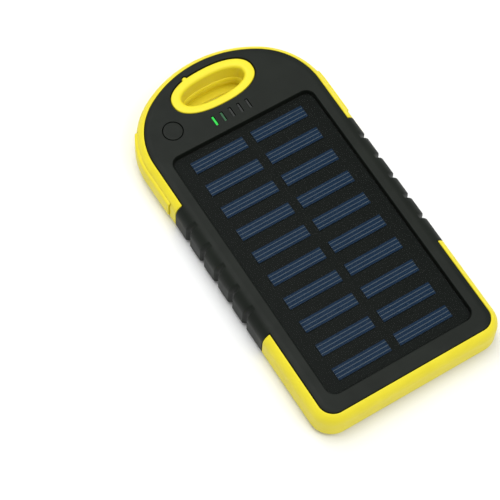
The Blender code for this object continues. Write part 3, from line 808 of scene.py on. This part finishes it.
def cell():
    """Blue silicon with fine printed fingers and three silver bars along the strip."""
    paint = Paint("cell_silicon", Specular_IOR_Level=0.08)
    grain = paint.noise(1.2, 5, 0.6, stretch=(1.0, 3.0, 1.0))
    blue = paint.ramp(grain, (0.3, (0.0022, 0.0135, 0.036)), (0.7, (0.005, 0.022, 0.052)))
    separate = paint.node("ShaderNodeSeparateXYZ")
    paint.tree.links.new(paint.place, separate.inputs["Vector"])
    low, high = box_mm("solar_cell_a10")
    pitch = box_mm("solar_cell_a9")[0][1] - low[1]
    row = paint.math("SUBTRACT", separate.outputs["Y"], low[1] * MM)
    row = paint.math("WRAP", row, pitch * MM)
    row.node.inputs[2].default_value = 0.0
    across = paint.math("DIVIDE", row, (high[1] - low[1]) * MM)
    lines = None
    for at in BARS:
        away = paint.math("ABSOLUTE", paint.math("SUBTRACT", across, at))
        line = paint.math("LESS_THAN", away, BAR_HALF)
        lines = line if lines is None else paint.math("MAXIMUM", lines, line)
    wave = paint.math("SINE", paint.math("MULTIPLY", separate.outputs["X"], pi / (FINGER_PITCH * MM)))
    finger = paint.math("LESS_THAN", paint.math("ABSOLUTE", wave), FINGER_SHARE)
    blue = paint.mix(paint.math("MULTIPLY", finger, 0.2), blue, (0.02, 0.045, 0.08))
    paint.set("Base Color", paint.mix(paint.math("MULTIPLY", lines, 0.8), blue, (0.13, 0.16, 0.165)))
    paint.set("Roughness", paint.remap(grain, 0.3, 0.42))
    return paint.material


def glaze():
    """The clear sheet over the cells: nearly invisible, with a satin haze."""
    paint = Paint("panel_glaze_sheet", Base_Color=(0.008, 0.009, 0.008, 1.0), Alpha=0.03, IOR=1.4)
    haze = paint.noise(0.8, 3, 0.6)
    paint.set("Roughness", paint.remap(haze, 0.3, 0.45))
    paint.bump(haze, 0.001, 0.1)
    return paint.material


def lamp(name, colour, glow):
    paint = Paint(name, Emission_Color=(*colour, 1.0), Emission_Strength=glow)
    darker = tuple(channel * 0.7 for channel in colour)
    paint.set("Base Color", paint.ramp(paint.noise(0.8), (0.3, colour), (0.7, darker)))
    paint.set("Roughness", paint.remap(paint.noise(0.5), 0.25, 0.4))
    return paint.material


def plain(name, colour, rough, metallic=0.0, grain=0.6, depth=0.01, stretch=None):
    """A simple finish with a little variation, for metal, wires and inner parts."""
    paint = Paint(name, Metallic=metallic)
    texture = paint.noise(grain, 3, 0.6, stretch)
    darker = tuple(channel * 0.8 for channel in colour)
    paint.set("Base Color", paint.ramp(texture, (0.3, darker), (0.7, colour)))
    paint.set("Roughness", paint.remap(texture, rough - 0.06, rough + 0.08))
    paint.bump(texture, depth, 0.4)
    return paint.material


def lens():
    paint = Paint("torch_lens_clear", Base_Color=(0.85, 0.87, 0.86, 1.0), Alpha=0.35, IOR=1.49)
    paint.set("Roughness", paint.remap(paint.noise(2.0), 0.08, 0.16))
    return paint.material


def paint_inner_parts():
    """Finishes for the CAD nodes that show only when a flap is open, or not at all."""
    board = plain("board_mask", (0.02, 0.14, 0.05), 0.4)
    white = plain("socket_nylon", (0.75, 0.75, 0.72), 0.45)
    foil = plain("battery_foil", (0.6, 0.61, 0.63), 0.3, 0.8, grain=2.5, depth=0.05)
    grey = plain("ferrite_grey", (0.07, 0.07, 0.075), 0.55)
    red = plain("lead_red", (0.55, 0.02, 0.02), 0.4)
    black = plain("lead_black", (0.02, 0.02, 0.02), 0.4)
    led = plain("torch_phosphor", (0.9, 0.82, 0.35), 0.4)
    finishes = {
        "circuit_board": board, "battery_pouch": foil, "battery_pad": grey, "boost_inductor": grey,
        "charge_controller": black, "switch_plunger": grey, "button_switch": STEEL, "torch_led": led,
        "battery_lead_red": red, "panel_lead_red": red, "battery_lead_black": black,
        "panel_lead_black": black,
    }
    for kind in ("usb_left", "usb_right", "micro_usb"):
        finishes[f"{kind}_shell"] = STEEL
        finishes[f"{kind}_tongue"] = white
    for name, paint in finishes.items():
        paint_node(nodes[name], paint)


# ---------------------------------------------------------------- stage

def camera():
    """From the lower left, high up: azimuth and elevation seen from the aim, and a slight roll."""
    azimuth, elevation, roll = radians(-35.38), radians(63.338), radians(3.914)
    distance, focal, sensor = 764.0, 158.55, 36.0
    aim = Vector((-19.09, 1.965, 0.0))
    back = Vector((sin(azimuth) * cos(elevation), -cos(azimuth) * cos(elevation), sin(elevation)))
    right = Vector((0, 0, 1)).cross(back).normalized()
    up = back.cross(right)
    turned_right = right * cos(roll) + up * sin(roll)
    turned_up = up * cos(roll) - right * sin(roll)
    item = bpy.data.objects.new("camera", bpy.data.cameras.new("camera"))
    item.data.lens = focal
    item.data.sensor_width = sensor
    item.data.clip_start = 0.01
    turn = Matrix((turned_right, turned_up, back)).transposed().to_4x4()
    item.matrix_world = Matrix.Translation((aim + back * distance) * MM) @ turn
    bpy.context.scene.collection.objects.link(item)
    bpy.context.scene.camera = item


def area_light(name, place_mm, aim_mm, size_mm, power):
    data = bpy.data.lights.new(name, "AREA")
    data.shape = "RECTANGLE"
    data.size, data.size_y = size_mm[0] * MM, size_mm[1] * MM
    data.energy = power
    item = bpy.data.objects.new(name, data)
    item.location = Vector(place_mm) * MM
    item.rotation_euler = (Vector(aim_mm) - Vector(place_mm)).to_track_quat("-Z", "Y").to_euler()
    bpy.context.scene.collection.objects.link(item)


def stage():
    floor = prism("floor", circle((0, 0), 3000, 64), -2.0, -0.01)
    paint = Paint("floor_paper")
    shade, light = (0.90, 0.905, 0.90), (0.92, 0.925, 0.92)
    paint.set("Base Color", paint.ramp(paint.noise(40, 2), (0.3, shade), (0.7, light)))
    paint.set("Roughness", paint.remap(paint.noise(8), 0.75, 0.85))
    floor.data.materials.append(paint.material)
    floor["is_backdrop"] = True
    world = bpy.data.worlds.new("studio")
    bpy.context.scene.world = world
    world.use_nodes = True
    background = world.node_tree.nodes["Background"]
    background.inputs["Color"].default_value = (1.0, 1.0, 1.0, 1.0)
    background.inputs["Strength"].default_value = 0.4
    area_light("key", (-120, 250, 1150), (0, 0, 0), (800, 800), 8.2)
    area_light("fill", (300, -600, 1050), (0, 0, 0), (800, 800), 5.6)
    area_light("rim", (100, 900, 800), (0, 0, 0), (700, 500), 2.6)
    bpy.context.scene.view_settings.view_transform = "Standard"


# ---------------------------------------------------------------- build

BLACK = moulded_black("case_black", (0.0075, 0.0098, 0.0073), (0.010, 0.0128, 0.0096), 0.50)
BACK = moulded_black("back_black", (0.015, 0.016, 0.0145), (0.020, 0.021, 0.019), 0.46, 0.3)
YELLOW = rubber()
LAMINATE = laminate()
CELL = cell()
GLAZE = glaze()
LENS = lens()
STEEL = plain("socket_steel", (0.55, 0.55, 0.56), 0.28, 1.0, grain=0.4, stretch=(1.0, 6.0, 6.0))
LAMP_BRIGHT = lamp("lamp_lit", (0.005, 0.42, 0.035), 0.75)
# Painted stray light: an unlit lamp made to glow faintly green, as if light from its lit neighbour falls
# on it.
LAMP_STRAY_GLOW = lamp("lamp_painted_stray_glow", (0.01, 0.10, 0.03), 0.1)
LAMP_DARK = lamp("lamp_off", (0.006, 0.009, 0.0065), 0.0)

front_cover()
rear_cover()
bumpers()
flaps()
loop_ring()
panel()
button()
lamps()
screws()
torch()
paint_inner_parts()
camera()
stage()

[[list(corner) for corner in box_at] for box_at in (size_at_load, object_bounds())]
